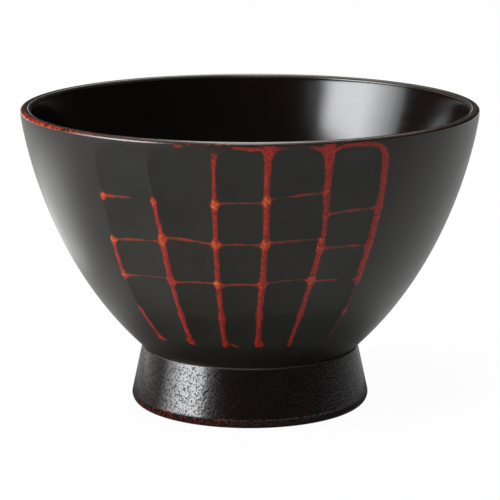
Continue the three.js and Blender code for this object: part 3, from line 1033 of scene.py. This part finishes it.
def lip_lacquer():
    """Brown-black on the lip, rubbed to red at the left front and in flecks along the front, with a painted
    reflection along its inner edge.
    """
    material, maker, place = finish("worn_lip_lacquer")
    azimuth = azimuth_of(maker, place)
    radius = radius_of(maker, place)
    ragged = noise(maker, place, 2.2 * MM, 3.0, 0.65, seed=21.0)
    fine = noise(maker, place, 0.6 * MM, 3.0, 0.6, seed=22.0)
    long_noise = noise(maker, place, 9 * MM, 2.0, seed=23.0)
    brown = mixed(maker, smooth(maker, long_noise, 0.3, 0.7), *LIP_BROWN)
    brown = mixed(maker, near(maker, azimuth, *LIP_BROWN_PLACE), LIP_BLACK, brown)
    outer = smooth(maker, radius, rim_radius - 1.5 * MM, rim_radius - 0.5 * MM)
    left_wear = near(maker, azimuth, *LIP_WEAR_PLACE)
    flecks = smooth(maker, ragged, 0.55, 0.68) * near(maker, azimuth, *LIP_FLECK_PLACE) * 0.6
    worn = left_wear * smooth(maker, ragged + (fine - 0.5) * 0.5, 0.38, 0.53)
    red = mixed(maker, smooth(maker, fine, 0.4, 0.65), *LIP_RED)
    mask = (worn + flecks) * outer
    colour = mixed(maker, mask.math("MINIMUM", mask, 1.0), brown, red)
    # Painted reflection: the lip's inner rounding is painted pale, as if it reflected the room
    painted_inner_edge_reflection = near(maker, radius, rim_radius - RIM_WALL + 0.25 * MM, 0.5 * MM)
    colour = mixed(maker, painted_inner_edge_reflection * 0.5, colour, LIP_INNER_EDGE_REFLECTION)
    roughness = LIP_ROUGHNESS + (ragged - 0.5) * 0.1
    relief = bump(maker, ragged + fine * 0.4, 0.02 * MM)
    surface(maker, {"IOR": LIP_IOR}, {"Base Color": colour, "Roughness": roughness, "Normal": relief})
    return material


def foot_lacquer():
    """Stippled brown-black, dull in its pits and at a slant, with red flecks near the toe and the left, and
    a painted highlight along the shoulder under the neck.
    """
    material, maker, place = finish("stippled_foot_lacquer")
    _, _, height = parts_of(maker, place)
    azimuth = azimuth_of(maker, place)
    grain = noise(maker, place, PIT_SIZE, 1.0, seed=31.0)
    clouds = noise(maker, place, 7 * MM, 3.0, seed=32.0)
    flecks = noise(maker, stretched(maker, place, (1.0, 1.0, 0.8)), 0.7 * MM, 3.0, 0.65, seed=33.0)
    dark = mixed(maker, clouds, *FOOT_BLACK)
    toe = stepped(maker, height, *TOE_FLECK_HEIGHTS)
    reach = 0.66 - toe * 0.10 - near(maker, azimuth, *FOOT_FLECK_PLACE) * 0.05
    share = smooth(maker, flecks, reach, reach + 0.06)
    red = mixed(maker, clouds, *FOOT_RED)
    colour = mixed(maker, share * 0.8, dark, red)
    # Painted highlight: the shoulder under the neck is painted pale where its rounding would catch the light
    ragged_height = height + (clouds - 0.5) * (0.2 * MM)
    painted_shoulder_highlight = smooth(maker, ragged_height, *[foot_height - depth for depth in SHOULDER_HIGHLIGHT_DEPTHS])
    colour = mixed(maker, painted_shoulder_highlight * 0.8, colour, FOOT_SHOULDER_HIGHLIGHT)
    pits = stepped(maker, grain + (clouds - 0.5) * 0.12, 0.40, 0.48) * 0.8
    relief = bump(maker, pits * -1, 0.01 * MM)
    sheen = {"Base Color": colour, "Roughness": FOOT_ROUGHNESS + (clouds - 0.5) * 0.1, "Normal": relief}
    glossy = lacquer(maker, {"IOR": FOOT_IOR}, sheen)
    matt = {"IOR": PIT_IOR, "Roughness": PIT_ROUGHNESS}
    dull = lacquer(maker, matt, {"Base Color": colour, "Normal": relief})
    slant = maker.add("ShaderNodeLayerWeight", {}, {"Blend": 0.5}, "Facing")
    hidden = smooth(maker, slant, 0.2, 0.45) * 0.6
    dullness = pits.math("MAXIMUM", pits, hidden)
    show(maker, maker.add("ShaderNodeMixShader", {}, {0: dullness, 1: glossy, 2: dull}))
    return material


def well_lacquer():
    """Satin black under the foot, with faint turning rings."""
    material, maker, place = finish("well_black_lacquer")
    radius = radius_of(maker, place)
    clouds = noise(maker, place, 6 * MM, 3.0, seed=41.0)
    rings = radius.math("SINE", radius * (2 * math.pi / TURNING_RING) + clouds * 4)
    colour = mixed(maker, clouds, *WELL_BLACK)
    roughness = WELL_ROUGHNESS + (clouds - 0.5) * 0.1
    relief = bump(maker, rings + clouds, 0.008 * MM)
    surface(maker, {"IOR": WELL_IOR}, {"Base Color": colour, "Roughness": roughness, "Normal": relief})
    return material


def turned_wood():
    """Bare wood under the lacquer: long grain with growth rings."""
    material, maker, place = finish("bare_wood")
    x, _, height = parts_of(maker, place)
    clouds = noise(maker, stretched(maker, place, (1.0, 0.15, 1.0)), 9 * MM, 4.0, seed=51.0)
    rings = x.math("SINE", (x + height * 0.35 + clouds * (7 * MM)) * (2 * math.pi / GROWTH_RING))
    pores = noise(maker, stretched(maker, place, (1.0, 0.06, 1.0)), 0.8 * MM, 2.0, seed=52.0)
    tone = smooth(maker, rings * 0.5 + 0.5 + (pores - 0.5) * 0.6, 0.1, 0.95)
    colour = mixed(maker, tone, *WOOD)
    roughness = WOOD_ROUGHNESS + (pores - 0.5) * 0.2
    relief = bump(maker, pores + rings * 0.2, 0.03 * MM)
    surface(maker, {"IOR": WOOD_IOR}, {"Base Color": colour, "Roughness": roughness, "Normal": relief})
    return material


# Pieces

TURNED = turned_tree()
WRAPPED = wrapped_tree()
FACET_NAMES = {(c, r): f"facet_c{c + 1}_r{r + 1}" for c in range(FLUTES) for r in range(ROWS)}


def hand_over(piece, node):
    """Sets a finished piece on the body in place of its solid."""
    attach(piece, "root")
    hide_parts(node)


def make_turned_pieces():
    foot = coat_section(foot_line())
    lining = turned_piece("lining", lining_section(), lining_lacquer())
    hand_over(lining, "inner_lining")
    lip = turned_piece("lip", lip_section(), lip_lacquer(), LIP_TURNS)
    hand_over(lip, "rim_lip")
    foot = turned_piece("foot", foot, foot_lacquer(), FOOT_TURNS, foot_grain(foot))
    hand_over(foot, "foot_coat")
    well = turned_piece("foot_well", well_section(), well_lacquer(), WELL_TURNS)
    hand_over(well, "foot_well_coat")


def make_wall_pieces():
    chart = wall_chart()
    points = wall_place(chart["azimuth"].ravel(), chart["height"].ravel())
    shape = chart["azimuth"].shape
    chart.update({name: values.reshape(shape) for name, values in panel_rubs(points).items()})

    columns, rows = shape[0] - 1, shape[1] - 1
    cell_rows = chart["cell_rows"]
    in_panel = np.zeros((columns, rows), bool)
    in_panel[:PANEL_COLUMNS, NECK_CELLS:] = True
    net = in_panel.copy()
    facet_finish = wall_lacquer("facet_black_lacquer", FACET_BLACK, FACET_ROUGHNESS)
    for (flute, row), name in FACET_NAMES.items():
        first = RIDGE_CELLS + flute * (FLUTE_CELLS + RIDGE_CELLS)
        cells = np.zeros_like(in_panel)
        cells[first:first + FLUTE_CELLS, [r for r in range(rows) if cell_rows[r] == row]] = True
        net &= ~cells
        hand_over(chart_piece("cut_" + name[6:], chart, cells, facet_finish), name)
    ground = wall_lacquer("red_ground_lacquer", GROUND_BLACK, FACET_ROUGHNESS)
    hand_over(chart_piece("red_net", chart, net, ground), "carved_ground")
    satin = wall_lacquer("satin_black_lacquer", SATIN_BLACK, SATIN_ROUGHNESS)
    hand_over(chart_piece("outside_coat", chart, ~in_panel, satin), "outer_coat")


make_turned_pieces()
make_wall_pieces()

wood = turned_wood()
for node in ("bowl_body", "foot_ring"):
    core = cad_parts[node]
    core.data.materials.clear()
    core.data.materials.append(wood)


# Studio

FLOOR_RADIUS = 5.0
FLOOR_GAP = 0.02 * MM
SOFTBOX_ELEVATION = math.radians(14)
SOFTBOX_DISTANCE = 1.0
# The softbox fades to its sides: azimuth in degrees, width, height and power of layers one behind the other
SOFTBOX_LAYERS = [
    (-58, 0.39, 0.50, 1.85),
    (-60, 0.54, 0.525, 2.65),
    (-62.5, 0.68, 0.55, 3.5),
    (-65, 0.84, 0.575, 4.5),
    (-67.5, 1.0, 0.60, 5.6),
    (-53, 0.8, 0.50, 0.9),
]
SOFTBOX_GAP = 0.01
SOFTBOX_COLOUR = (0.94, 0.965, 1.0)
CARD_PLACE = Vector((-0.14, 0.09, 0.002))
CARD_WIDTH = 0.12
CARD_DEPTH = 0.14
CARD_POWER = 0.092
CAMERA_AZIMUTH = math.radians(3.05)
CAMERA_DISTANCE = 620 * MM
CAMERA_HEIGHT = 171.2 * MM
CAMERA_PITCH = math.radians(12.05)
CAMERA_LENS = 179.64
SENSOR_WIDTH = 36
# How much of its own white the floor shows to straight views, to reflections at the front and at the back,
# and between which places front turns to back
STRAIGHT_WHITE = 0.96
FRONT_WHITE = 0.5
BACK_WHITE = 0.94
FRONT_TO_BACK = (-0.06, 0.08)
FLOOR_TONES = (0.86, 0.86, 0.86, 1), (0.90, 0.90, 0.90, 1)
FLOOR_SIDES = 96
# Painted shadow: the floor under the overhang is painted dark where reflections see it, for the bowl's
# shade: full out to the first radius, gone at the second, and only to the right of a line
PAINTED_SHADOW_RADII = (36 * MM, 62 * MM)
PAINTED_SHADOW_LEFT = (-95 * MM, -65 * MM)
PAINTED_SHADOW_STRENGTH = 0.8
PAINTED_SHADOW_TONE = (0.03, 0.03, 0.03, 1)
# The room's lights, by how bright they are and where they lie across it, as shares of a unit direction
CEILING_LEVEL = 0.7
STRIP_LEVEL = 3.8
STRIP_SIDE = -0.01
STRIP_REACH = 0.2
GAP_LEVEL = 1.4
GAP_SIDE = -0.057
GAP_REACH = 0.036
LEFT_SWEEP_LEVEL = 0.45
RIGHT_SWEEP_LEVEL = 0.12
ROOM_LEVEL = 0.03


def around(azimuth, distance, height):
    return Vector((distance * math.sin(azimuth), -distance * math.cos(azimuth), height))


def make_floor():
    """A wide pale floor, nearly white to straight views and reflections, that keeps the bowl's shadow, with
    a shadow painted under the overhang that only reflections see.
    """
    material, maker, place = finish("pale_floor")
    mottle = noise(maker, place, 0.4, 2.0, seed=61.0)
    colour = mixed(maker, mottle, *FLOOR_TONES)
    matt = maker.add("ShaderNodeBsdfDiffuse", {}, {"Color": colour})
    white = maker.add("ShaderNodeEmission", {}, {"Color": (1, 1, 1, 1), "Strength": 1.0})
    path = maker.node("ShaderNodeLightPath")
    seen = [Field(maker, path.outputs[n]) for n in ("Is Camera Ray", "Is Glossy Ray", "Is Transmission Ray")]
    side, back, _ = parts_of(maker, place)
    behind = smooth(maker, back + side * 0.5, *FRONT_TO_BACK)
    mirrored = behind * (BACK_WHITE - FRONT_WHITE) + FRONT_WHITE
    indirect = seen[1].math("MAXIMUM", seen[1], seen[2]) * mirrored
    share = indirect.math("MAXIMUM", indirect, seen[0] * STRAIGHT_WHITE)
    shader = maker.add("ShaderNodeMixShader", {}, {0: share, 1: matt, 2: white})
    # Painted shadow: reflections see a dark tone on the floor under the bowl's overhang, to its right
    under = stepped(maker, radius_of(maker, place), *PAINTED_SHADOW_RADII) * smooth(maker, side, *PAINTED_SHADOW_LEFT)
    dark = maker.add("ShaderNodeBsdfDiffuse", {}, {"Color": PAINTED_SHADOW_TONE})
    painted_shadow_share = under * seen[1] * PAINTED_SHADOW_STRENGTH
    show(maker, maker.add("ShaderNodeMixShader", {}, {0: painted_shadow_share, 1: shader, 2: dark}))
    turn = 2 * math.pi / FLOOR_SIDES
    rim = [around(turn * i, FLOOR_RADIUS, -FLOOR_GAP) for i in range(FLOOR_SIDES)]
    mesh = bpy.data.meshes.new("floor")
    mesh.from_pydata(rim, [], [list(range(FLOOR_SIDES))])
    mesh.materials.append(material)
    floor = bpy.data.objects.new("floor", mesh)
    bpy.context.scene.collection.objects.link(floor)


def make_world():
    """A dark room: a pale ceiling with a bright strip, a white gap at the back and pale sweeps beside it."""
    world = bpy.data.worlds.new("studio")
    bpy.context.scene.world = world
    world.use_nodes = True
    world.node_tree.nodes.clear()
    maker = Maker(world.node_tree)
    direction = maker.add("ShaderNodeTexCoord", {}, {}, "Generated")
    side, back, up = parts_of(maker, direction)
    aside = side.math("ABSOLUTE", side)
    right = smooth(maker, side, -0.1, 0.1)
    sweep = stepped(maker, up, 0.03, 0.16) * smooth(maker, aside, 0.2, 0.4) * smooth(maker, back, 0.05, 0.4)
    sweep = sweep * (LEFT_SWEEP_LEVEL - right * (LEFT_SWEEP_LEVEL - RIGHT_SWEEP_LEVEL))
    strip = near(maker, side, STRIP_SIDE, STRIP_REACH) * smooth(maker, back, -0.72, -0.55)
    strip = strip * smooth(maker, up, 0.35, 0.5)
    gap = near(maker, side, GAP_SIDE, GAP_REACH) * smooth(maker, back, 0.5, 0.6)
    gap = gap * stepped(maker, up, 0.2, 0.3)
    ceiling = smooth(maker, up, 0.55, 0.75) * CEILING_LEVEL
    pale = up.math("MAXIMUM", sweep, strip * STRIP_LEVEL) + gap * GAP_LEVEL
    level = up.math("MAXIMUM", pale.math("MAXIMUM", pale, ceiling), ROOM_LEVEL)
    sky = maker.add("ShaderNodeBackground", {}, {"Color": (1, 1, 1, 1), "Strength": level})
    maker.node("ShaderNodeOutputWorld", {}, {"Surface": sky})


def make_lamp(name, width, height, power):
    light = bpy.data.lights.new(name, "AREA")
    light.shape = "RECTANGLE"
    light.size = width
    light.size_y = height
    light.energy = power
    lamp = bpy.data.objects.new(name, light)
    bpy.context.scene.collection.objects.link(lamp)
    return lamp


def make_lamps():
    """A tall softbox at the left front, and a low white card at the left back."""
    flat = SOFTBOX_DISTANCE * math.cos(SOFTBOX_ELEVATION)
    centre = Vector((0, 0, bowl_height / 2))
    for layer, (azimuth, width, height, power) in enumerate(SOFTBOX_LAYERS):
        away = around(math.radians(azimuth), flat, SOFTBOX_DISTANCE * math.sin(SOFTBOX_ELEVATION))
        lamp = make_lamp("softbox", width, height, power)
        lamp.location = centre + away * (1 + layer * SOFTBOX_GAP)
        lamp.rotation_euler = (-away).to_track_quat("-Z", "Y").to_euler()
        lamp.data.color = SOFTBOX_COLOUR
    card = make_lamp("card", CARD_WIDTH, CARD_DEPTH, CARD_POWER)
    card.location = CARD_PLACE
    card.rotation_euler = (math.pi, 0, 0)
    card.visible_camera = False


def make_camera():
    data = bpy.data.cameras.new("camera")
    data.lens = CAMERA_LENS
    data.sensor_width = SENSOR_WIDTH
    data.clip_start = 0.01
    data.clip_end = 50
    camera = bpy.data.objects.new("camera", data)
    camera.location = around(CAMERA_AZIMUTH, CAMERA_DISTANCE, CAMERA_HEIGHT)
    camera.rotation_euler = (math.pi / 2 - CAMERA_PITCH, 0, CAMERA_AZIMUTH)
    bpy.context.scene.collection.objects.link(camera)
    bpy.context.scene.camera = camera


make_floor()
make_world()
make_lamps()
make_camera()
bpy.context.scene.view_settings.view_transform = "Standard"

bpy.context.view_layer.update()
